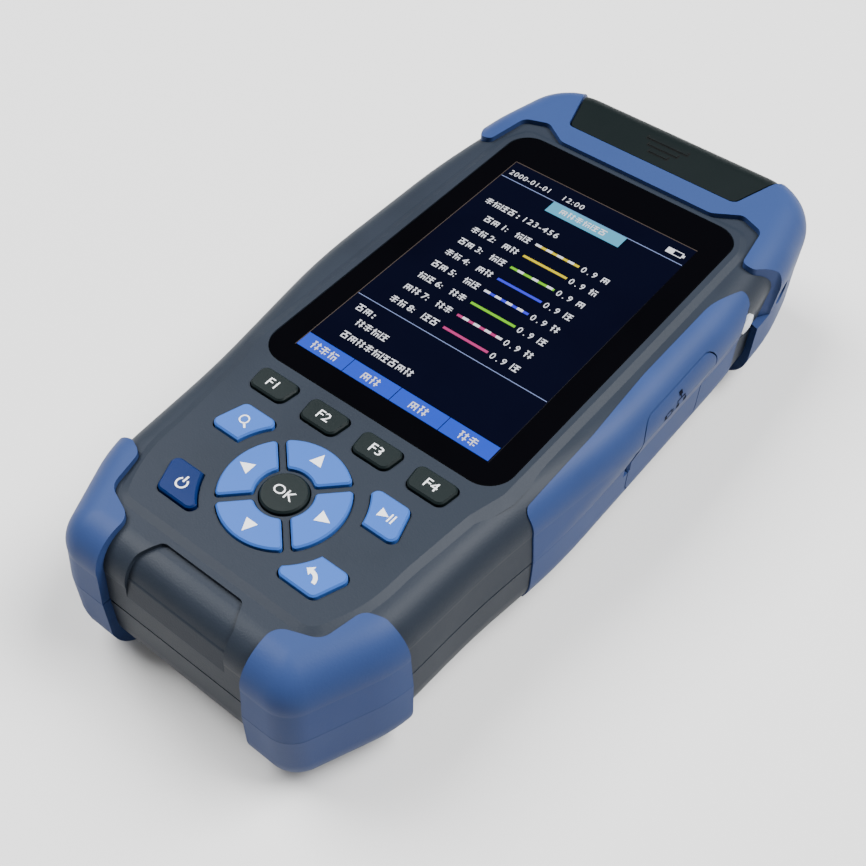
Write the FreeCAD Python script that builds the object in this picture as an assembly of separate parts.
"""Handheld optical time domain reflectometer, built as an assembly of separate pieces.

Frame: millimetres, +Z out of the display, +Y towards the port cover, +X towards the side flap.
The origin is under the middle of the instrument, on the surface that it lies on.
"""
import FreeCAD, Part
import math
import os

os.makedirs("parts", exist_ok=True)
V = FreeCAD.Vector

# ---------------------------------------------------------------- driving dimensions
# Heights of the case
BACK_Z = 0.8             # flat back, above the feet of the bumpers
FACE_Z = 35.8            # front face around the raised key and display plateau
PLATEAU_RISE = 0.6       # plateau above the face
PART_Z = 20.2            # parting plane of the front and rear case
SHOULDER_R = 7.0         # rounding between the front face and the sides
BACK_R = 12.0            # rounding between the back and the sides
WALL = 2.2               # case wall

# Display
DISPLAY_Y = 12.2
DISPLAY_SIZE = (49.0, 76.9)
WINDOW_SIZE = (60.5, 93.1)
WINDOW_Y = 14.4
WINDOW_T = 1.1
WINDOW_R = 6.0
WINDOW_GAP = 0.15
WINDOW_LEDGE = 2.6       # width of the ledge that carries the window
GASKET_T = 0.2
LEDGE_T = 0.9
LCD_MARGIN = 2.4         # display module beyond its visible area
LCD_T = 3.2
SEAT = 0.05              # between flat faces that rest on each other
LOWER = WINDOW_Y - WINDOW_SIZE[1] / 2   # window edge at the keys; lengths along Y start here
UPPER = WINDOW_Y + WINDOW_SIZE[1] / 2   # window edge at the port end

# Half outline at the parting plane: x, y and corner radius, from the lower end to the port end
PARTING_OUTLINE = [(27.4, LOWER - 54.75, 5), (36, LOWER - 35.25, 30), (37, LOWER - 12.85, 200),
                   (40, LOWER + 10.75, 150), (40.1, UPPER - 20.35, 200), (39.5, UPPER + 3.65, 60),
                   (34.8, UPPER + 25.85, 14)]
# Half outline at the shoulder, which is waisted at the keys and flared at the display
SHOULDER_OUTLINE = [(27, LOWER - 54.05, 5), (35.4, LOWER - 34.85, 30), (36.9, LOWER - 7.25, 200),
                    (42.2, UPPER - 62.35, 150), (42.1, UPPER - 20.35, 200), (39.8, UPPER + 3.65, 60),
                    (35, UPPER + 26.05, 14)]
MIN_CORNER_R = 1.5

# Bumpers and grip, moulded into a recess of the case
BUMPER_PROUD = 1.8       # bumper above the case sides
BUMPER_FACE_PROUD = 1.2  # bumper above the front face
BUMPER_BACK_R = 11.0     # rounding of the bumpers towards the back
BUMPER_SINK = 0.8        # recess of the case under a bumper
MOULD_GAP = 0.1          # between a moulded part and its recess
FAR = 50.0               # outside the instrument
LOWER_BUMPER = [(17.8, LOWER - 62.85, 1), (FAR, LOWER - 62.85, 1), (FAR, LOWER - 32.85, 1),
                (31.5, LOWER - 32.85, 2.5), (27.6, LOWER - 34.45, 3), (25.8, LOWER - 43.05, 3.5),
                (18, LOWER - 46.05, 3.5)]
LOWER_BUMPER_REAR = [(17.8, LOWER - 62.85, 1), (FAR, LOWER - 62.85, 1), (FAR, LOWER - 32.85, 1),
                     (25.6, LOWER - 32.85, 2.5), (23.8, LOWER - 38.35, 3), (17.8, LOWER - 40.35, 3)]
UPPER_BUMPER = [(20.6, UPPER + 1.95, 3), (26.8, UPPER + 5.95, 2), (32.6, UPPER + 3.65, 2.5),
                (34.3, UPPER - 8.35, 1.2), (37.3, UPPER - 8.15, 2), (41.2, UPPER - 0.95, 1.6),
                (FAR, UPPER - 0.95, 1), (FAR, UPPER + 34.05, 1)]
UPPER_BUMPER_REAR = [(22, UPPER + 10.55, 5), (30, UPPER - 2.95, 5), (FAR, UPPER - 9.95, 1),
                     (FAR, UPPER + 34.05, 1)]
GRIP_PROUD = 0.3
GRIP_SINK = 1.0
GRIP = [(35.6, LOWER + 1.85, 1.2), (FAR, LOWER + 1.85, 1), (FAR, UPPER - 18.15, 1),
        (42.2, UPPER - 17.95, 1.5), (40.6, UPPER - 13.75, 1.5), (38.2, UPPER - 13.15, 1.5),
        (35.2, UPPER - 22.95, 20), (35.0, UPPER - 48.95, 60), (35.9, UPPER - 68.95, 60)]
GRIP_BACK_Z = 7.0

# Raised plateau around the display and the keys, and the thumb recess at its lower end
PLATEAU = [(23.3, LOWER - 43.35, 4), (28, LOWER - 33.85, 30), (28.5, LOWER - 22.85, 30),
           (30, LOWER - 6.85, 4), (32.2, LOWER + 1.15, 8), (32.6, UPPER - 50.95, 200),
           (32.6, UPPER - 4.95, 5), (29.6, UPPER + 1.75, 3)]
PLATEAU_SLOPE = 1.6      # width of its sloping edge
SLOPE_ROOT = 0.3         # slope carried into the face
RECESS = [(13.0, LOWER - 67.85, 1), (12.2, LOWER - 50.35, 3), (9.8, LOWER - 45.45, 1.2)]
RECESS_DEPTH = 0.9
RECESS_FADE_Z = (24.0, 31.0)
PARTING_GROOVE = (0.4, 0.5)   # depth and height of the groove between the case halves

# Keys
KEY_PROUD = 0.9          # key top above the plateau
KEY_TRAVEL = 0.6
KEY_GAP = 0.25           # between a key and its hole
KEY_FLANGE = 0.7         # rim that keeps a key in its hole
KEY_FLANGE_T = 0.7
KEY_BEVEL = 0.35
F_KEY = [(-4.2, -3.0, 1.6), (4.2, -3.0, 1.6), (5.0, 2.7, 0.8), (-5.0, 2.7, 0.8)]
F_KEY_Y = LOWER - 5.75
F_KEY_PITCH = 13.3
RING_Y = LOWER - 24.35
RING_R = 12.7
RING_INNER_R = 5.8
RING_SLOT = 1.7          # gap between neighbouring arrow keys
RING_CORNER_R = 0.8
OK_KEY_R = 4.7
KEY_ARC_R = 16.0         # concave side of the four outer keys, about the ring centre
UPPER_KEY = [(13.0, 3.7, 1.2), (23.2, 3.7, 1.4), (20.7, 11.7, 1.4), (12.4, 11.7, 1.2)]
LOWER_KEY = [(10.4, -13.8, 1.2), (19.3, -13.8, 1.4), (22.3, -6.1, 1.4), (11.0, -6.1, 1.2)]

# Keypad stack
MAT = (50.0, 40.7, 1.2)
MAT_Y = LOWER - 22.1
DOME_PLAY = 0.05         # left between a key and its dome when the key is fully pressed
DOME_H = 0.8
DOME_R = 2.0
BOARD_T = 1.6
KEYPAD_BOARD = (50.0, 48.6)
KEYPAD_BOARD_Y = LOWER - 21.75
KEYPAD_POSTS = [(22.8, LOWER - 44.15), (22.8, LOWER + 0.55)]
KEYPAD_POST_R = 1.5

# Main board, module and battery
MAIN_BOARD_Z = 14.2
MAIN_BOARD = (62.0, UPPER - LOWER + 34.9)
MAIN_BOARD_Y = (UPPER + LOWER) / 2 - 18.4
BOARD_POINTS = [(25, LOWER - 17.85), (25, UPPER - 58.95)]
POST_R = 2.2
MODULE = (46.0, 32.0, 12.4)
MODULE_AT = (-3.6, UPPER - 17.95)
SHIELD = (30.0, 34.0, 3.6)
SHIELD_AT = (-4.0, UPPER - 64.95)
BATTERY = (38.0, 48.0, 10.0)

# Port pocket and cover at the +Y end
COVER_Y = UPPER + 8.85           # inner edge of the cover
COVER_HALF = 22.6        # half width of the cover at its inner edge
COVER_FLARE = 0.31       # growth of the half width along Y
COVER_PROUD = 1.0
COVER_T = 1.9
COVER_GAP = 0.3
COVER_RIBS = [(UPPER + 12.8, 5.0), (UPPER + 15.0, 8.0), (UPPER + 17.2, 11.0)]
COVER_RIB = (1.0, 0.4)
HINGE_R = 1.7            # rounded lower end of the cover, about its hinge pin
HINGE_Z = 12.8
HINGE_HALF = 20.4
HINGE_PIN_R = 0.6
HINGE_FIT = 0.05
PIN_FIT = 0.03           # a fixed pin or screw in its hole
TRAY_HALF = 22.4
TRAY_Y = UPPER + 14.55
TRAY_Z = 15.4
TRAY_WALL = 1.6
TRAY_RIB_X = (8.0, 12.0)
TRAY_RIB_Y = (UPPER + 9.0, UPPER + 22.0)
LUG_W = 1.8              # hinge lugs beside the cover's barrel
COVER_OPEN = 120         # degrees
PORT_Z = 23.0
PORT_PITCH = 13.6
PORT_R = 4.0
PORT_CUP_R = 3.2         # hollow of the threaded barrel
PORT_CUP_DEPTH = 5.0
SLEEVE_R = 2.0
PORT_REACH = 8.0
PORT_TAIL = 5.0
PORT_FLANGE = (5.4, 1.2)
FERRULE_R = 1.25
FERRULE_DEPTH = 9.0

# Side sockets and their flap
FLAP_Y = (UPPER - 58.35, UPPER - 30.15)
FLAP_Z = (9.6, 33.1)
FLAP_GAP = 0.35
FLAP_T = 1.4
FLAP_CORNER_R = 4.0
FLAP_ZONE_X = 30.0
FLAP_ROOM = 1.2
FLAP_NOTCH_R = 1.5
FLAP_NOTCH_Z = 17.5
FLAP_NOTCH_H = 9.0
SOCKET_FACE_X = 37.6
RJ45_BODY = (15.0, 15.9, 13.4)
RJ45_MOUTH = (12.0, 11.8, 8.2)
RJ45_Y = UPPER - 38.95
USB_BODY = (9.0, 9.4, 4.6)
USB_MOUTH = (7.0, 8.4, 3.2)
USB_Y = UPPER - 51.95
SOCKET_GAP = 0.3

# Lamp and strap anchor
LAMP_AT = (UPPER - 15.35, 28.4)
LAMP_R = 2.4
LAMP_DOME_R = 6.0
LAMP_PROUD = 0.25
LAMP_DEPTH = 5.0
STRAP_AT = (UPPER + 4.05, 23.2)
STRAP_R = 2.2
STRAP_WALL = 0.6
STRAP_DEPTH = 6.0
STRAP_BAR_R = 0.6

# Back: stand, battery door and screws
STAND = (40.0, UPPER - 58.95, 2.2)  # width, Y of the free end, thickness
STAND_PIN_Y = UPPER - 2.95
STAND_PIN_R = 0.8
STAND_BARREL_R = 1.5
STAND_GAP = 0.35
STAND_PANEL = 0.8        # sunk panel on the outside of the stand
STAND_BED = (24.0, UPPER - 63.95, UPPER + 5.05, 5.4)  # half width, Y range and top of the thickened back
DOOR = (44.0, 60.0, 1.8)
DOOR_Y = LOWER - 4.85
DOOR_GAP = 0.2
DOOR_LEDGE = 2.0
DOOR_POINTS = [(14.0, DOOR_Y - 27.2), (14.0, DOOR_Y + 27.2)]
CASE_POINTS = [(28.6, LOWER - 30.35), (31.4, UPPER - 68.95), (31, UPPER - 2.95)]
CASE_SCREW = (1.25, 2.3, 1.6, 23.0)   # shaft radius, head radius, head height, shaft length
SMALL_SCREW = (1.0, 1.9, 0.9, 5.0)
CASE_SCREW_Z = 6.0
BOSS_R = 3.4
SCREW_CLEARANCE = 0.3

# Seal between the case halves
SEAL = (1.15, 0.6, 0.7)  # inset, width and depth

SHOULDER_Z = FACE_Z - SHOULDER_R - 0.6
PLATEAU_Z = FACE_Z + PLATEAU_RISE
INNER_FACE_Z = FACE_Z - WALL
HIGH = FACE_Z + 20
KEY_TOP_Z = PLATEAU_Z + KEY_PROUD
KEY_FLANGE_Z = INNER_FACE_Z - SEAT - KEY_FLANGE_T
MAT_Z = KEY_FLANGE_Z - KEY_TRAVEL - DOME_PLAY - DOME_H - MAT[2]
WINDOW_Z = PLATEAU_Z - WINDOW_T
LEDGE_Z = WINDOW_Z - GASKET_T
BOARD_TOP_Z = MAIN_BOARD_Z + BOARD_T
HINGE_Y = PARTING_OUTLINE[-1][1] + COVER_PROUD - HINGE_R
FLAP_HINGE_X = SHOULDER_OUTLINE[4][0] + GRIP_PROUD + 0.05
STAND_PIN_Z = BACK_Z + SEAT + STAND_BARREL_R
TRAY_FRONT_Y = TRAY_Y + TRAY_WALL


# ---------------------------------------------------------------- construction helpers
def export(name, shape):
    """Write one named piece."""
    shape.exportStep("parts/" + name + ".step")


def box(x0, x1, y0, y1, z0, z1):
    return Part.makeBox(x1 - x0, y1 - y0, z1 - z0, V(x0, y0, z0))


def centred_box(cx, cy, size_x, size_y, z0, z1):
    return box(cx - size_x / 2, cx + size_x / 2, cy - size_y / 2, cy + size_y / 2, z0, z1)


def rod(centre, radius, length, axis):
    return Part.makeCylinder(radius, length, V(*centre), V(*axis))


def fuse_all(shapes):
    result = shapes[0]
    for shape in shapes[1:]:
        result = result.fuse(shape)
    return result.removeSplitter()


def group(shapes):
    return Part.makeCompound(shapes)


def turn_and_half_tangent(before, corner, after):
    """Signed turn at a corner and the tangent of its half angle."""
    ax, ay = corner[0] - before[0], corner[1] - before[1]
    bx, by = after[0] - corner[0], after[1] - corner[1]
    turn = math.atan2(ax * by - ay * bx, ax * bx + ay * by)
    return turn, math.tan(abs(turn) / 2)


def inset_corners(corners, inset):
    """Move every side of a counter-clockwise polygon inwards and adapt its corner radii."""
    result = []
    count = len(corners)
    for i, (x, y, r) in enumerate(corners):
        before, after = corners[i - 1], corners[(i + 1) % count]
        turn = turn_and_half_tangent(before, (x, y), after)[0]
        ax, ay = x - before[0], y - before[1]
        bx, by = after[0] - x, after[1] - y
        la, lb = math.hypot(ax, ay), math.hypot(bx, by)
        nx = -(ay / la + by / lb)
        ny = ax / la + bx / lb
        scale = 2 * inset / (nx * nx + ny * ny)
        radius = max(r - inset, MIN_CORNER_R) if turn > 0 else r + inset
        result.append((x + nx * scale, y + ny * scale, radius))
    return result


def rounded_wire(corners, z):
    """Closed wire of straight sides joined by tangent arcs, one arc for each corner."""
    arcs = []
    count = len(corners)
    for i, (x, y, r) in enumerate(corners):
        before, after = corners[i - 1], corners[(i + 1) % count]
        turn, half = turn_and_half_tangent(before, (x, y), after)
        reach = r * half
        la = math.hypot(x - before[0], y - before[1])
        lb = math.hypot(after[0] - x, after[1] - y)
        start = V(x - (x - before[0]) / la * reach, y - (y - before[1]) / la * reach, z)
        end = V(x + (after[0] - x) / lb * reach, y + (after[1] - y) / lb * reach, z)
        towards = (start + end) * 0.5 - V(x, y, z)
        towards.normalize()
        arcs.append((start, V(x, y, z) + towards * (r / math.cos(turn / 2) - r), end))
    edges = []
    for i, (start, middle, end) in enumerate(arcs):
        edges.append(Part.Arc(start, middle, end).toShape())
        edges.append(Part.makeLine(end, arcs[(i + 1) % count][0]))
    return Part.Wire(edges)


def prism(corners, z0, z1):
    """Upright prism on a polygon with rounded corners."""
    return Part.Face(rounded_wire(corners, z0)).extrude(V(0, 0, z1 - z0))


def sharp_prism(points, z0, z1):
    wire = Part.makePolygon([V(x, y, z0) for x, y in points + points[:1]])
    return Part.Face(wire).extrude(V(0, 0, z1 - z0))


def mirrored(points):
    """Mirror a polygon across the middle plane and keep it counter-clockwise."""
    return [(-p[0],) + tuple(p[1:]) for p in reversed(points)]


def plate_corners(cx, cy, size_x, size_y, radius):
    hx, hy = size_x / 2, size_y / 2
    return [(cx - hx, cy - hy, radius), (cx + hx, cy - hy, radius),
            (cx + hx, cy + hy, radius), (cx - hx, cy + hy, radius)]


def bevelled(solid, z, size):
    """Chamfer the edges that lie wholly at one height."""
    edges = [e for e in solid.Edges
             if all(abs(v.Point.z - z) < 1e-4 for v in e.Vertexes) and abs(e.CenterOfMass.z - z) < 1e-4]
    return solid.makeChamfer(size, edges)


def rounded_at(solid, z, radius):
    """Fillet the edges that lie wholly at one height."""
    edges = [e for e in solid.Edges
             if all(abs(v.Point.z - z) < 1e-4 for v in e.Vertexes) and abs(e.CenterOfMass.z - z) < 1e-4]
    return solid.makeFillet(radius, edges)


def side_prism(corners, x0, x1):
    """Prism along X on a polygon of Y and Z."""
    solid = prism(corners, x0, x1)
    solid.rotate(V(0, 0, 0), V(1, 1, 1), 120)
    return solid


def both_sides(points):
    return points + [(-x, y) for x, y in points]


# ---------------------------------------------------------------- body of the instrument
def body_corners(blend, inset):
    """Full outline between the parting plane (blend 0) and the shoulder (blend 1)."""
    half = []
    for low, high in zip(PARTING_OUTLINE, SHOULDER_OUTLINE):
        half.append(tuple(a + (b - a) * blend for a, b in zip(low, high)))
    return inset_corners(half + mirrored(half), inset)


def body_front(proud, face_proud=None):
    """Front half of the body, grown by proud on its sides and by face_proud on its face."""
    face_proud = proud if face_proud is None else face_proud
    flare = Part.makeLoft([rounded_wire(body_corners(0, -proud), PART_Z),
                           rounded_wire(body_corners(1, -proud), SHOULDER_Z)], True, True)
    crown = prism(body_corners(1, -proud), SHOULDER_Z, FACE_Z + face_proud)
    crown = rounded_at(crown, FACE_Z + face_proud, SHOULDER_R + face_proud)
    return flare.fuse(crown)


def body_rear(proud, back_proud=None, radius=None):
    """Rear half of the body, grown by proud on its sides and by back_proud on its back."""
    back_proud = proud if back_proud is None else back_proud
    radius = BACK_R + back_proud if radius is None else radius
    return rounded_at(prism(body_corners(0, -proud), BACK_Z - back_proud, PART_Z), BACK_Z - back_proud, radius)


def cavity(levels):
    """Inside of a case half: straight bands between (blend, inset, height) levels."""
    wires = [rounded_wire(body_corners(blend, inset), z) for blend, inset, z in levels]
    return Part.makeLoft(wires, True, True)


def skin(outer, inner, region):
    """Layer between two sizes of the body, inside an upright region."""
    return outer.common(region).cut(inner)


# ---------------------------------------------------------------- regions shared by mating pieces
def cover_region(grow, z0, z1):
    half = COVER_HALF + grow
    end = half + COVER_FLARE * (FAR * 2 - COVER_Y + grow)
    corners = [(half, COVER_Y - grow, 2), (end, FAR * 2, 1)]
    return prism(corners + mirrored(corners), z0, z1)


def whole_plan(half, inset, z0, z1):
    """Prism on a half outline that is mirrored across the middle plane."""
    return prism(inset_corners(half + mirrored(half), inset), z0, z1)


def lower_bumper_plan(side, inset, z0, z1, outline):
    corners = outline if side > 0 else mirrored(outline)
    return prism(inset_corners(corners, inset), z0, z1)


def upper_bumper_plan(inset, z0, z1):
    return whole_plan(UPPER_BUMPER, inset, z0, z1).cut(cover_region(COVER_GAP + inset, z0 - 1, z1 + 1))


def grip_plan(inset, z0, z1):
    return prism(inset_corners(GRIP, inset), z0, z1)


def flap_plan(grow):
    corners = [(FLAP_Y[0], FLAP_Z[0]), (FLAP_Y[1], FLAP_Z[0]), (FLAP_Y[1], FLAP_Z[1]), (FLAP_Y[0], FLAP_Z[1])]
    corners = inset_corners([(y, z, FLAP_CORNER_R) for y, z in corners], -grow)
    return side_prism(corners, SOCKET_FACE_X - 1, FAR)


def hinge_round(radius, half):
    return rod((-half, HINGE_Y, HINGE_Z), radius, 2 * half, (1, 0, 0))


def cover_swing():
    """Room that the lower end of the cover needs as it swings open."""
    half = COVER_HALF + COVER_FLARE * (HINGE_Y - COVER_Y) + 2 * COVER_GAP
    leaf = box(-half, half, HINGE_Y, HINGE_Y + HINGE_R + COVER_GAP, HINGE_Z, HIGH)
    room = [hinge_round(HINGE_R + COVER_GAP, half)]
    for angle in (90, COVER_OPEN):
        turned = leaf.copy()
        turned.rotate(V(0, HINGE_Y, HINGE_Z), V(-1, 0, 0), angle)
        room.append(turned)
    return fuse_all(room)


def hinge_lugs(grow, inner):
    """Pair of lugs that hold the hinge pin, one at each end of the cover's barrel."""
    half = HINGE_HALF + COVER_GAP - grow
    width = LUG_W + 2 * grow
    lugs = []
    for x in (half, -half - width):
        lugs.append(rod((x, HINGE_Y, HINGE_Z), HINGE_R + grow, width, (1, 0, 0)))
        if inner:
            lugs.append(box(x, x + width, HINGE_Y - 2 * HINGE_R, HINGE_Y, HINGE_Z - HINGE_R, HINGE_Z + HINGE_R))
    return lugs


def tray_pocket(grow):
    half = TRAY_HALF + grow
    return box(-half, half, TRAY_Y - grow, FAR * 2, TRAY_Z - grow, HIGH)


def socket_mouths(grow):
    """Straight passages to the two sockets behind the side flap."""
    passages = []
    for (depth, wide, tall), y, z in ((RJ45_MOUTH, RJ45_Y, BOARD_TOP_Z + SEAT + RJ45_BODY[2] / 2),
                                      (USB_MOUTH, USB_Y, BOARD_TOP_Z + SEAT + USB_BODY[2] / 2)):
        passages.append(box(SOCKET_FACE_X - depth, FAR, y - wide / 2 - grow, y + wide / 2 + grow,
                            z - tall / 2 - grow, z + tall / 2 + grow))
    return passages


def seal_ring(fit):
    inset, width, depth = SEAL
    outer = prism(body_corners(0, inset + fit), PART_Z - depth + fit, PART_Z - fit / 2)
    inner = prism(body_corners(0, inset + width - fit), PART_Z - 2, PART_Z + 1)
    ring = outer.cut(inner)
    pocket = tray_pocket(SEAL[1])
    return ring.cut(pocket).cut(flap_zone(0, HIGH)).cut(strap_hole(STRAP_R + STRAP_WALL + 0.4))


def strap_hole(radius):
    return rod((PARTING_OUTLINE[-2][0] - STRAP_DEPTH, STRAP_AT[0], STRAP_AT[1]), radius, FAR / 2, (1, 0, 0))


def lamp_hole(radius):
    return rod((SHOULDER_OUTLINE[4][0] - LAMP_DEPTH, LAMP_AT[0], LAMP_AT[1]), radius, FAR / 2, (1, 0, 0))


def outside_cuts(flap_z0, z0, z1, flap_body, cover_body):
    """Recesses that both case halves share: side flap, sockets, port cover and port pocket."""
    cuts = [flap_plan(FLAP_GAP).common(flap_zone(flap_z0, z1)).cut(flap_body),
            cover_region(COVER_GAP, z0, z1).cut(cover_body), tray_pocket(MOULD_GAP)]
    return cuts + socket_mouths(0.0)


# ---------------------------------------------------------------- case
def f_key_plan(index, grow):
    x = (index - 1.5) * F_KEY_PITCH
    return inset_corners([(x + cx, F_KEY_Y + cy, r) for cx, cy, r in F_KEY], -grow)


def arrow_solid(direction, outer, inner, slot, z0, z1):
    """Quarter of a ring between two diagonal slots; direction 0 is +X, 1 is +Y and so on."""
    ring = rod((0, RING_Y, z0), outer, z1 - z0, (0, 0, 1)).cut(rod((0, RING_Y, z0), inner, z1 - z0, (0, 0, 1)))
    tip = slot * math.sqrt(2)
    reach = 2 * outer
    wedge = sharp_prism([(tip, RING_Y), (reach, RING_Y - reach + tip), (reach, RING_Y + reach - tip)], z0, z1)
    wedge.rotate(V(0, RING_Y, 0), V(0, 0, 1), 90 * direction)
    quarter = ring.common(wedge)
    upright = [edge for edge in quarter.Edges if edge.BoundBox.ZLength > (z1 - z0) / 2]
    return quarter.makeFillet(RING_CORNER_R, upright)


def outer_key_solid(corners, side, grow, z0, z1):
    corners = [(x, RING_Y + y, r) for x, y, r in corners]
    corners = corners if side > 0 else mirrored(corners)
    solid = prism(inset_corners(corners, -grow), z0, z1)
    return solid.cut(rod((0, RING_Y, z0 - 1), KEY_ARC_R - grow, z1 - z0 + 2, (0, 0, 1)))


def round_key_solid(radius, z0, z1):
    return rod((0, RING_Y, z0), radius, z1 - z0, (0, 0, 1))


def key_solids(gap, flange, z0, z1):
    """Plan of every key, grown by a gap, or by a flange that leaves the neighbours free."""
    solids = {}
    for index in range(4):
        solids["key_f" + str(index + 1)] = prism(f_key_plan(index, gap + flange), z0, z1)
    for direction, name in enumerate(("key_right", "key_up", "key_left", "key_down")):
        solids[name] = arrow_solid(direction, RING_R + gap + flange, RING_INNER_R - gap,
                                   RING_SLOT / 2 - gap, z0, z1)
    solids["key_ok"] = round_key_solid(OK_KEY_R + gap + flange, z0, z1)
    for name, corners, side in (("key_search", UPPER_KEY, -1), ("key_play", UPPER_KEY, 1),
                                ("key_power", LOWER_KEY, -1), ("key_back", LOWER_KEY, 1)):
        solids[name] = outer_key_solid(corners, side, gap + flange, z0, z1)
    return solids


def thumb_recess():
    """Shallow recess at the lower end whose floor runs out on the end face."""
    end_y = PARTING_OUTLINE[0][1]
    low, high = RECESS_FADE_Z
    profile = [(-FAR * 2, low), (end_y, low), (end_y + 2 * RECESS_DEPTH, high), (0, high), (0, HIGH), (-FAR * 2, HIGH)]
    fade = side_prism([(y, z, 1) for y, z in profile], -FAR, FAR)
    return whole_plan(RECESS, 0, PART_Z, HIGH).cut(body_front(-RECESS_DEPTH)).common(fade)


def parting_groove():
    depth, height = PARTING_GROOVE
    outer = prism(body_corners(0, -1), PART_Z - height / 2, PART_Z + height / 2)
    return outer.cut(prism(body_corners(0, depth), PART_Z - height, PART_Z + height))


def raised_plateau():
    """Plateau around the display and the keys, with a sloping edge."""
    slope = PLATEAU_SLOPE * (PLATEAU_RISE + SLOPE_ROOT) / PLATEAU_RISE
    outline = PLATEAU + mirrored(PLATEAU)
    return Part.makeLoft([rounded_wire(inset_corners(outline, PLATEAU_SLOPE / 2 - slope), FACE_Z - SLOPE_ROOT),
                          rounded_wire(inset_corners(outline, PLATEAU_SLOPE / 2), PLATEAU_Z)], True, True)


def front_case():
    shell = body_front(0).cut(cavity([(0, WALL, PART_Z - 1), (0, WALL, PART_Z), (1, WALL, SHOULDER_Z),
                                      (1, WALL + 3.6, INNER_FACE_Z)]))
    inner = body_front(-BUMPER_SINK)
    bosses = [rod((x, y, PART_Z + SEAT), BOSS_R, INNER_FACE_Z - PART_Z, (0, 0, 1)) for x, y in both_sides(CASE_POINTS)]
    posts = [rod((x, y, MAT_Z), KEYPAD_POST_R, INNER_FACE_Z + 0.5 - MAT_Z, (0, 0, 1))
             for x, y in both_sides(KEYPAD_POSTS)]
    shell = fuse_all([shell, raised_plateau(), group(bosses).common(inner)] + posts)
    lcd = (DISPLAY_SIZE[0] + 2 * LCD_MARGIN + 2 * SEAT, DISPLAY_SIZE[1] + 2 * LCD_MARGIN + 2 * SEAT)
    opening = (WINDOW_SIZE[0] - 2 * WINDOW_LEDGE, WINDOW_SIZE[1] - 2 * WINDOW_LEDGE)
    pocket = (WINDOW_SIZE[0] + 2 * WINDOW_GAP, WINDOW_SIZE[1] + 2 * WINDOW_GAP)
    cuts = [prism(plate_corners(0, WINDOW_Y, pocket[0], pocket[1], WINDOW_R + WINDOW_GAP), LEDGE_Z, HIGH),
            prism(plate_corners(0, WINDOW_Y, opening[0], opening[1], WINDOW_R - WINDOW_LEDGE), PART_Z, HIGH),
            centred_box(0, DISPLAY_Y, lcd[0], lcd[1], PART_Z, LEDGE_Z - LEDGE_T)]
    cuts += list(key_solids(KEY_GAP, 0, INNER_FACE_Z - 1, HIGH).values())
    cuts += [rod((x, y, 0), CASE_SCREW[0] + PIN_FIT, CASE_SCREW_Z + CASE_SCREW[3] + 0.5, (0, 0, 1))
             for x, y in both_sides(CASE_POINTS)]
    cuts += [lower_bumper_plan(side, 0, PART_Z, HIGH, LOWER_BUMPER).cut(inner) for side in (1, -1)]
    cuts.append(upper_bumper_plan(0, PART_Z, HIGH).cut(inner))
    cuts.append(grip_plan(0, PART_Z, HIGH).cut(body_front(-GRIP_SINK)))
    cuts += [thumb_recess(), parting_groove()]
    cuts += outside_cuts(PART_Z, PART_Z, HIGH, body_front(GRIP_PROUD - FLAP_T - COVER_GAP),
                         body_front(COVER_PROUD - COVER_T - COVER_GAP))
    cuts += [lamp_hole(LAMP_R + MOULD_GAP), strap_hole(STRAP_R + STRAP_WALL + MOULD_GAP)]
    for cut in cuts:
        shell = shell.cut(cut)
    return shell


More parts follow.
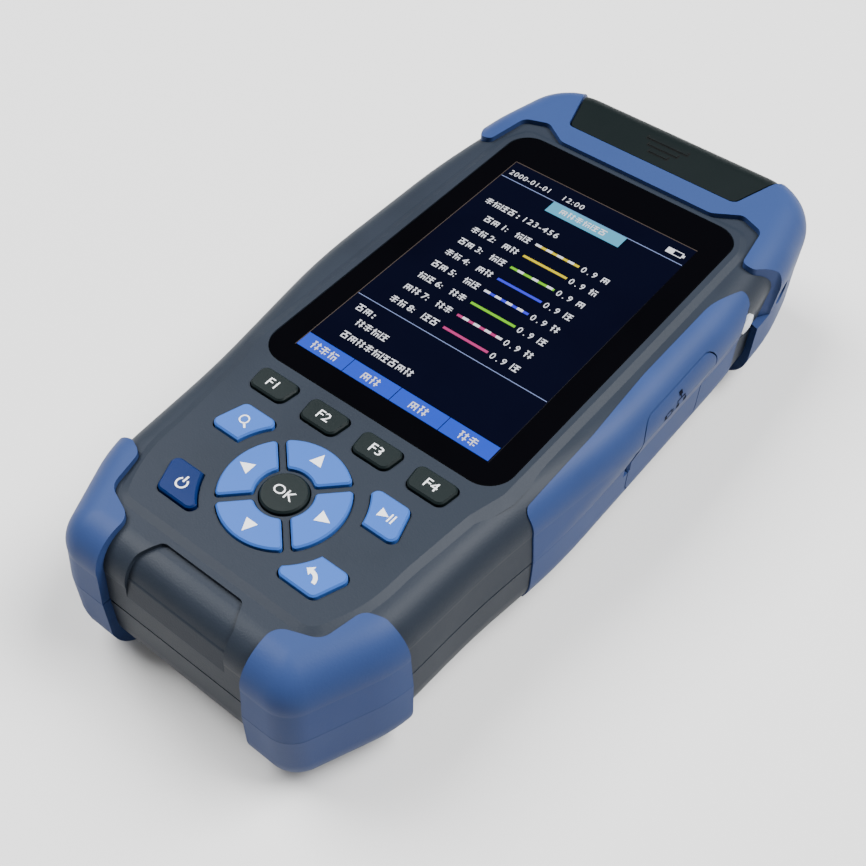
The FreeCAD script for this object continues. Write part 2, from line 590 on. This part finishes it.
def rear_case():
    inner_r = BACK_R - WALL
    corner = inner_r * (1 - math.cos(math.pi / 4))
    shell = body_rear(0).cut(cavity([(0, BACK_R, BACK_Z + WALL), (0, WALL + corner, BACK_Z + WALL + corner),
                                     (0, WALL, BACK_Z + BACK_R), (0, WALL, PART_Z + 1)]))
    bed_half, bed_y0, bed_y1, bed_z = STAND_BED
    adds = [box(-bed_half, bed_half, bed_y0, bed_y1, BACK_Z + 1, bed_z)]
    adds += [rod((x, y, BACK_Z), BOSS_R, PART_Z - BACK_Z, (0, 0, 1)) for x, y in both_sides(CASE_POINTS)]
    adds += [rod((x, y, BACK_Z + 1), POST_R, MAIN_BOARD_Z - SEAT - BACK_Z - 1, (0, 0, 1))
             for x, y in both_sides(BOARD_POINTS)]
    adds += [rod((x, y, BACK_Z + 1), SMALL_SCREW[1] + 0.6, SMALL_SCREW[3] + 2, (0, 0, 1))
             for x, y in both_sides(DOOR_POINTS)]
    adds += [box(min(side * x for x in TRAY_RIB_X), max(side * x for x in TRAY_RIB_X), TRAY_RIB_Y[0],
                 TRAY_RIB_Y[1], BACK_Z + 1, TRAY_Z - SEAT) for side in (1, -1)]
    shell = fuse_all([shell, group(adds).common(body_rear(-BUMPER_SINK))])
    inner = body_rear(-BUMPER_SINK)
    door_z = BACK_Z + DOOR[2] + SEAT
    cuts = [centred_box(0, DOOR_Y, DOOR[0] + 2 * DOOR_GAP, DOOR[1] + 2 * DOOR_GAP, -1, door_z),
            centred_box(0, DOOR_Y, DOOR[0] - 2 * DOOR_LEDGE, BATTERY[1] + 2, -1, PART_Z),
            box(-STAND[0] / 2 - STAND_GAP, STAND[0] / 2 + STAND_GAP, STAND[1] - STAND_GAP, STAND_PIN_Y, -1,
                BACK_Z + SEAT + STAND[2] + SEAT),
            rod((-STAND[0] / 2 - STAND_GAP, STAND_PIN_Y, STAND_PIN_Z), STAND_BARREL_R + STAND_GAP,
                STAND[0] + 2 * STAND_GAP, (1, 0, 0)),
            box(-STAND[0] / 2 - STAND_GAP, STAND[0] / 2 + STAND_GAP, STAND_PIN_Y - 1,
                STAND_PIN_Y + STAND_BARREL_R + STAND_GAP, -1, STAND_PIN_Z),
            rod((0, STAND[1] - 1, -3.6), 6.5, 9, (0, 1, 0)),
            stand_pin(PIN_FIT, 2 * MOULD_GAP)]
    for x, y in both_sides(CASE_POINTS):
        cuts.append(rod((x, y, 0), CASE_SCREW[0] + SCREW_CLEARANCE, PART_Z + 1, (0, 0, 1)))
        cuts.append(rod((x, y, -1), CASE_SCREW[1] + SCREW_CLEARANCE, CASE_SCREW_Z + 1, (0, 0, 1)))
    cuts += [rod((x, y, MAIN_BOARD_Z - SMALL_SCREW[3]), SMALL_SCREW[0] + PIN_FIT, PART_Z, (0, 0, 1))
             for x, y in both_sides(BOARD_POINTS)]
    cuts += [rod((x, y, 0), SMALL_SCREW[0] + PIN_FIT, BACK_Z + SMALL_SCREW[3] + 2, (0, 0, 1))
             for x, y in both_sides(DOOR_POINTS)]
    cuts += [lower_bumper_plan(side, 0, -1, PART_Z, LOWER_BUMPER_REAR).cut(inner) for side in (1, -1)]
    cuts.append(whole_plan(UPPER_BUMPER_REAR, 0, -1, PART_Z).cut(inner))
    cuts.append(grip_plan(0, GRIP_BACK_Z, PART_Z).cut(body_rear(-GRIP_SINK)))
    cover_body = body_rear(COVER_PROUD - COVER_T - COVER_GAP)
    cuts += outside_cuts(0, HINGE_Z, PART_Z, body_rear(GRIP_PROUD - FLAP_T - COVER_GAP), cover_body)
    cuts += [seal_ring(0), parting_groove(), strap_hole(STRAP_R + STRAP_WALL + MOULD_GAP), cover_swing()]
    for cut in cuts:
        shell = shell.cut(cut)
    shell = fuse_all([shell] + hinge_lugs(0, True))
    return shell.cut(hinge_round(HINGE_PIN_R + PIN_FIT, HINGE_HALF + LUG_W))


# ---------------------------------------------------------------- bumpers, grip and side flap
def moulded_front(plan, proud, face_proud, sink):
    return skin(body_front(proud, face_proud), body_front(MOULD_GAP - sink), plan(PART_Z + SEAT, HIGH))


def moulded_rear(plan, outer, sink, z0):
    return skin(outer, body_rear(MOULD_GAP - sink), plan(z0, PART_Z - SEAT))


def bumper_outer_rear():
    return body_rear(BUMPER_PROUD, BACK_Z, BUMPER_BACK_R)


def lower_bumper_front(side):
    return moulded_front(lambda z0, z1: lower_bumper_plan(side, MOULD_GAP, z0, z1, LOWER_BUMPER),
                         BUMPER_PROUD, BUMPER_FACE_PROUD, BUMPER_SINK)


def lower_bumper_rear(side):
    return moulded_rear(lambda z0, z1: lower_bumper_plan(side, MOULD_GAP, z0, z1, LOWER_BUMPER_REAR),
                        bumper_outer_rear(), BUMPER_SINK, -1)


def upper_bumper_front():
    bumper = moulded_front(lambda z0, z1: upper_bumper_plan(MOULD_GAP, z0, z1),
                           BUMPER_PROUD, BUMPER_FACE_PROUD, BUMPER_SINK)
    return bumper.cut(strap_hole(STRAP_R + STRAP_WALL + MOULD_GAP))


def upper_bumper_rear():
    bumper = moulded_rear(lambda z0, z1: whole_plan(UPPER_BUMPER_REAR, MOULD_GAP, z0, z1),
                          bumper_outer_rear(), BUMPER_SINK, -1)
    bumper = bumper.cut(cover_region(COVER_GAP, HINGE_Z, HIGH)).cut(cover_swing())
    return bumper.cut(strap_hole(STRAP_R + STRAP_WALL + MOULD_GAP))


def flap_notch():
    """Scoop for a fingernail at the free end of the side flap."""
    notch_x = (PARTING_OUTLINE[4][0] + SHOULDER_OUTLINE[4][0]) / 2
    return rod((notch_x, FLAP_Y[0] - FLAP_NOTCH_R / 2, FLAP_NOTCH_Z), FLAP_NOTCH_R, FLAP_NOTCH_H, (0, 0, 1))


def grip_front():
    grip = moulded_front(lambda z0, z1: grip_plan(MOULD_GAP, z0, z1), GRIP_PROUD, GRIP_PROUD, GRIP_SINK)
    return grip.cut(flap_plan(FLAP_GAP)).cut(flap_notch()).cut(lamp_hole(LAMP_R + FLAP_GAP))


def grip_rear():
    grip = moulded_rear(lambda z0, z1: grip_plan(MOULD_GAP, z0, z1), body_rear(GRIP_PROUD), GRIP_SINK,
                        GRIP_BACK_Z + MOULD_GAP)
    return grip.cut(flap_plan(FLAP_GAP)).cut(flap_notch())


def flap_zone(z0, z1):
    """Room around the flap on the +X side of the case."""
    return box(FLAP_ZONE_X, FAR, FLAP_Y[0] - FLAP_ROOM, FLAP_Y[1] + FLAP_ROOM, z0, z1)


def side_flap():
    zone_front = flap_zone(PART_Z, HIGH)
    zone_rear = flap_zone(0, PART_Z)
    layers = skin(body_front(GRIP_PROUD), body_front(GRIP_PROUD - FLAP_T), zone_front)
    layers = layers.fuse(skin(body_rear(GRIP_PROUD), body_rear(GRIP_PROUD - FLAP_T), zone_rear))
    return layers.common(flap_plan(0)).cut(flap_notch()).removeSplitter()


# ---------------------------------------------------------------- display
def display_window():
    glass = prism(plate_corners(0, WINDOW_Y, WINDOW_SIZE[0], WINDOW_SIZE[1], WINDOW_R), WINDOW_Z, PLATEAU_Z)
    return bevelled(glass, PLATEAU_Z, WINDOW_GAP)


def window_gasket():
    size_x, size_y = WINDOW_SIZE
    outer = prism(plate_corners(0, WINDOW_Y, size_x, size_y, WINDOW_R), LEDGE_Z, WINDOW_Z)
    hole = (size_x - 2 * WINDOW_LEDGE, size_y - 2 * WINDOW_LEDGE)
    inner = plate_corners(0, WINDOW_Y, hole[0], hole[1], WINDOW_R - WINDOW_LEDGE)
    return outer.cut(prism(inner, LEDGE_Z, WINDOW_Z))


def lcd_module():
    top = LEDGE_Z - LEDGE_T - SEAT
    size = (DISPLAY_SIZE[0] + 2 * LCD_MARGIN, DISPLAY_SIZE[1] + 2 * LCD_MARGIN)
    frame = centred_box(0, DISPLAY_Y, size[0], size[1], top - LCD_T, top)
    return frame.cut(centred_box(0, DISPLAY_Y, DISPLAY_SIZE[0], DISPLAY_SIZE[1], top - 0.2, top))


# ---------------------------------------------------------------- keys and keypad stack
def keys():
    tops = key_solids(0, 0, KEY_FLANGE_Z, KEY_TOP_Z)
    flanges = key_solids(0, KEY_FLANGE, KEY_FLANGE_Z, KEY_FLANGE_Z + KEY_FLANGE_T)
    result = {}
    for name, top in tops.items():
        result[name] = bevelled(top, KEY_TOP_Z, KEY_BEVEL).fuse(flanges[name]).removeSplitter()
    return result


def key_centres():
    reach = (RING_R + RING_INNER_R) / 2
    points = [((index - 1.5) * F_KEY_PITCH, F_KEY_Y) for index in range(4)]
    points += [(reach, RING_Y), (0, RING_Y + reach), (-reach, RING_Y), (0, RING_Y - reach), (0, RING_Y)]
    for corners in (UPPER_KEY, LOWER_KEY):
        x = sum(p[0] for p in corners) / 4 + 1
        y = RING_Y + sum(p[1] for p in corners) / 4
        points += both_sides([(x, y)])
    return points


def keypad_mat():
    mat = centred_box(0, MAT_Y, MAT[0], MAT[1], MAT_Z, MAT_Z + MAT[2])
    domes = [Part.makeCone(DOME_R, DOME_R / 2, DOME_H, V(x, y, MAT_Z + MAT[2])) for x, y in key_centres()]
    return fuse_all([mat] + domes)


def keypad_board():
    top = MAT_Z - SEAT
    return centred_box(0, KEYPAD_BOARD_Y, KEYPAD_BOARD[0], KEYPAD_BOARD[1], top - BOARD_T, top)


# ---------------------------------------------------------------- boards, module and battery
def main_board():
    board = centred_box(0, MAIN_BOARD_Y, MAIN_BOARD[0], MAIN_BOARD[1], MAIN_BOARD_Z, BOARD_TOP_Z)
    for x, y in both_sides(CASE_POINTS):
        board = board.cut(rod((x, y, 0), BOSS_R + SCREW_CLEARANCE, HIGH, (0, 0, 1)))
    for x, y in both_sides(BOARD_POINTS):
        board = board.cut(rod((x, y, 0), SMALL_SCREW[0] + SCREW_CLEARANCE, HIGH, (0, 0, 1)))
    return board


def on_board(at, size):
    base = BOARD_TOP_Z + SEAT
    return bevelled(centred_box(at[0], at[1], size[0], size[1], base, base + size[2]), base + size[2], 0.5)


def battery_pack():
    base = BACK_Z + DOOR[2] + SEAT
    return bevelled(centred_box(0, DOOR_Y, BATTERY[0], BATTERY[1], base, base + BATTERY[2]),
                    base + BATTERY[2], 1.0)


def socket(body, mouth, y):
    depth, wide, tall = body
    base = BOARD_TOP_Z + SEAT
    shell = box(SOCKET_FACE_X - depth, SOCKET_FACE_X, y - wide / 2, y + wide / 2, base, base + tall)
    middle = base + tall / 2
    return shell.cut(box(SOCKET_FACE_X - mouth[0], SOCKET_FACE_X, y - mouth[1] / 2, y + mouth[1] / 2,
                         middle - mouth[2] / 2, middle + mouth[2] / 2))


def rj45_jack():
    jack = socket(RJ45_BODY, RJ45_MOUTH, RJ45_Y)
    top = BOARD_TOP_Z + SEAT + RJ45_BODY[2] / 2 + RJ45_MOUTH[2] / 2
    return jack.cut(box(SOCKET_FACE_X - RJ45_MOUTH[0], SOCKET_FACE_X, RJ45_Y - 3, RJ45_Y + 3, top - 1, top + 1.4))


# ---------------------------------------------------------------- port pocket, ports and cover
def port_points():
    return {"otdr_port": -PORT_PITCH, "vfl_port": 0.0, "power_meter_port": PORT_PITCH}


def tray_limits():
    """Room for the port pocket's plates inside the closed cover."""
    limit = COVER_T - COVER_PROUD + COVER_GAP + MOULD_GAP
    return body_front(-limit).fuse(body_rear(-limit))


def port_bulkhead():
    plate = box(-TRAY_HALF, TRAY_HALF, TRAY_Y, TRAY_FRONT_Y, TRAY_Z, HIGH).common(tray_limits())
    for x in port_points().values():
        plate = plate.cut(rod((x, TRAY_Y - 1, PORT_Z), PORT_R + PIN_FIT, TRAY_WALL + 2, (0, 1, 0)))
    return plate


def port_floor():
    plate = box(-TRAY_HALF, TRAY_HALF, TRAY_FRONT_Y + SEAT, FAR * 2, TRAY_Z, TRAY_Z + TRAY_WALL)
    return plate.common(tray_limits())


def port_wall(side):
    inner, outer = TRAY_HALF - TRAY_WALL, TRAY_HALF
    x0, x1 = (inner, outer) if side > 0 else (-outer, -inner)
    plate = box(x0, x1, TRAY_FRONT_Y + SEAT, FAR * 2, TRAY_Z + TRAY_WALL + SEAT, HIGH)
    return plate.common(tray_limits())


def optical_port(x):
    """Threaded adapter with a central sleeve for the ferrule."""
    tip = TRAY_FRONT_Y + PORT_REACH
    back = TRAY_FRONT_Y - PORT_TAIL
    barrel = bevelled_rod(x, back, tip)
    cup = rod((x, tip - PORT_CUP_DEPTH, PORT_Z), PORT_CUP_R, PORT_CUP_DEPTH, (0, 1, 0))
    sleeve = rod((x, back, PORT_Z), SLEEVE_R, tip - 0.8 - back, (0, 1, 0))
    flange = rod((x, TRAY_FRONT_Y + SEAT, PORT_Z), PORT_FLANGE[0], PORT_FLANGE[1], (0, 1, 0))
    body = fuse_all([barrel.cut(cup), flange, sleeve])
    slot = box(x - 1.1, x + 1.1, tip - 3, tip + 1, PORT_Z + PORT_CUP_R - 0.5, PORT_Z + PORT_R + 1)
    ferrule = rod((x, tip - 0.8 - FERRULE_DEPTH, PORT_Z), FERRULE_R, FERRULE_DEPTH + 1, (0, 1, 0))
    return body.cut(slot).cut(ferrule)


def bevelled_rod(x, y0, y1):
    shaft = rod((x, y0, PORT_Z), PORT_R, y1 - y0 - 0.5, (0, 1, 0))
    return shaft.fuse(Part.makeCone(PORT_R, PORT_R - 0.5, 0.5, V(x, y1 - 0.5, PORT_Z), V(0, 1, 0)))


def port_cover():
    inner = COVER_PROUD - COVER_T
    lid = skin(body_front(COVER_PROUD), body_front(inner), cover_region(0, PART_Z, HIGH))
    wall = skin(body_rear(COVER_PROUD), body_rear(inner), cover_region(0, HINGE_Z, PART_Z))
    ribs = []
    for y, length in COVER_RIBS:
        top = FACE_Z + COVER_PROUD + COVER_RIB[1]
        rib = centred_box(0, y, length, COVER_RIB[0], FACE_Z + COVER_PROUD - 0.3, top)
        ribs.append(bevelled(rib, top, COVER_RIB[1] / 2))
    cover = fuse_all([lid, wall, hinge_round(HINGE_R, HINGE_HALF)] + ribs)
    room = fuse_all(hinge_lugs(COVER_GAP, False))
    return cover.cut(room).cut(hinge_round(HINGE_PIN_R + HINGE_FIT, HINGE_HALF + 1))


def cover_pin():
    return hinge_round(HINGE_PIN_R, HINGE_HALF + LUG_W - SEAT)


# ---------------------------------------------------------------- lamp, strap anchor, stand and door
def lamp_lens():
    dome_x = SHOULDER_OUTLINE[4][0] + LAMP_PROUD - LAMP_DOME_R
    dome = Part.makeSphere(LAMP_DOME_R, V(dome_x, LAMP_AT[0], LAMP_AT[1]))
    return lamp_hole(LAMP_R).common(dome)


def strap_anchor():
    x1 = PARTING_OUTLINE[-2][0] + BUMPER_PROUD - 1.0
    x0 = PARTING_OUTLINE[-2][0] - STRAP_DEPTH
    y, z = STRAP_AT
    cup = rod((x0, y, z), STRAP_R + STRAP_WALL, x1 - x0, (1, 0, 0))
    cup = cup.cut(rod((x0 + 1, y, z), STRAP_R, x1 - x0, (1, 0, 0)))
    bar = rod((x1 - 1.6, y, z - STRAP_R - STRAP_WALL / 2), STRAP_BAR_R, 2 * STRAP_R + STRAP_WALL, (0, 0, 1))
    return fuse_all([cup, bar])


def stand_pin(grow, extra):
    half = STAND[0] / 2 + 2.0 + extra
    return rod((-half, STAND_PIN_Y, STAND_PIN_Z), STAND_PIN_R + grow, 2 * half, (1, 0, 0))


def stand():
    half = STAND[0] / 2
    top = BACK_Z + SEAT + STAND[2]
    plate = box(-half, half, STAND[1], STAND_PIN_Y, BACK_Z + SEAT, top)
    plate = fuse_all([plate, rod((-half, STAND_PIN_Y, STAND_PIN_Z), STAND_BARREL_R, 2 * half, (1, 0, 0))])
    panel = prism(plate_corners(0, STAND_PIN_Y / 2, 2 * half - 12, STAND_PIN_Y - 18, 3), -1, BACK_Z + STAND_PANEL)
    return plate.cut(panel).cut(stand_pin(HINGE_FIT, 0))


def battery_door():
    door = centred_box(0, DOOR_Y, DOOR[0], DOOR[1], BACK_Z, BACK_Z + DOOR[2])
    for x, y in both_sides(DOOR_POINTS):
        door = door.cut(rod((x, y, 0), SMALL_SCREW[0] + SCREW_CLEARANCE, 9, (0, 0, 1)))
        door = door.cut(rod((x, y, 0), SMALL_SCREW[1] + SCREW_CLEARANCE, BACK_Z + SMALL_SCREW[2] + 0.1, (0, 0, 1)))
    return door


def screws(points, sizes, seat_z, upwards):
    """Group of equal screws whose heads rest at one height."""
    shaft_r, head_r, head_t, length = sizes
    result = []
    for x, y in both_sides(points):
        start = seat_z - upwards * head_t
        head = rod((x, y, start), head_r, head_t, (0, 0, upwards))
        shaft = rod((x, y, seat_z - upwards * 0.2), shaft_r, length + 0.2, (0, 0, upwards))
        hex_socket = [(x + head_r * 0.5 * math.cos(math.radians(60 * i)),
                       y + head_r * 0.5 * math.sin(math.radians(60 * i))) for i in range(6)]
        depth = head_t * 0.6
        low = start if upwards > 0 else start - depth
        result.append(head.fuse(shaft).cut(sharp_prism(hex_socket, low, low + depth)))
    return group(result)


# ---------------------------------------------------------------- all pieces
def build():
    pieces = {
        "front_case": front_case(), "rear_case": rear_case(), "case_seal": seal_ring(SEAT),
        "bumper_right_front": lower_bumper_front(1), "bumper_left_front": lower_bumper_front(-1),
        "bumper_right_rear": lower_bumper_rear(1), "bumper_left_rear": lower_bumper_rear(-1),
        "bumper_top_front": upper_bumper_front(), "bumper_top_rear": upper_bumper_rear(),
        "grip_front": grip_front(), "grip_rear": grip_rear(), "side_flap": side_flap(),
        "display_window": display_window(), "window_gasket": window_gasket(), "lcd_module": lcd_module(),
        "keypad_mat": keypad_mat(), "keypad_board": keypad_board(), "main_board": main_board(),
        "optical_module": on_board(MODULE_AT, MODULE), "processor_shield": on_board(SHIELD_AT, SHIELD),
        "battery_pack": battery_pack(), "rj45_jack": rj45_jack(),
        "usb_port": socket(USB_BODY, USB_MOUTH, USB_Y),
        "port_bulkhead": port_bulkhead(), "port_floor": port_floor(),
        "port_wall_right": port_wall(1), "port_wall_left": port_wall(-1), "port_cover": port_cover(), "cover_pin": cover_pin(),
        "lamp_lens": lamp_lens(), "strap_anchor": strap_anchor(),
        "stand": stand(), "stand_pin": stand_pin(0, 0), "battery_door": battery_door(),
        "case_screws": screws(CASE_POINTS, CASE_SCREW, CASE_SCREW_Z, 1),
        "door_screws": screws(DOOR_POINTS, SMALL_SCREW, BACK_Z + SMALL_SCREW[2] + 0.1, 1),
        "board_screws": screws(BOARD_POINTS, SMALL_SCREW, BOARD_TOP_Z, -1),
    }
    pieces.update(keys())
    for name, x in port_points().items():
        pieces[name] = optical_port(x)
    return pieces


for piece_name, piece in build().items():
    export(piece_name, piece)
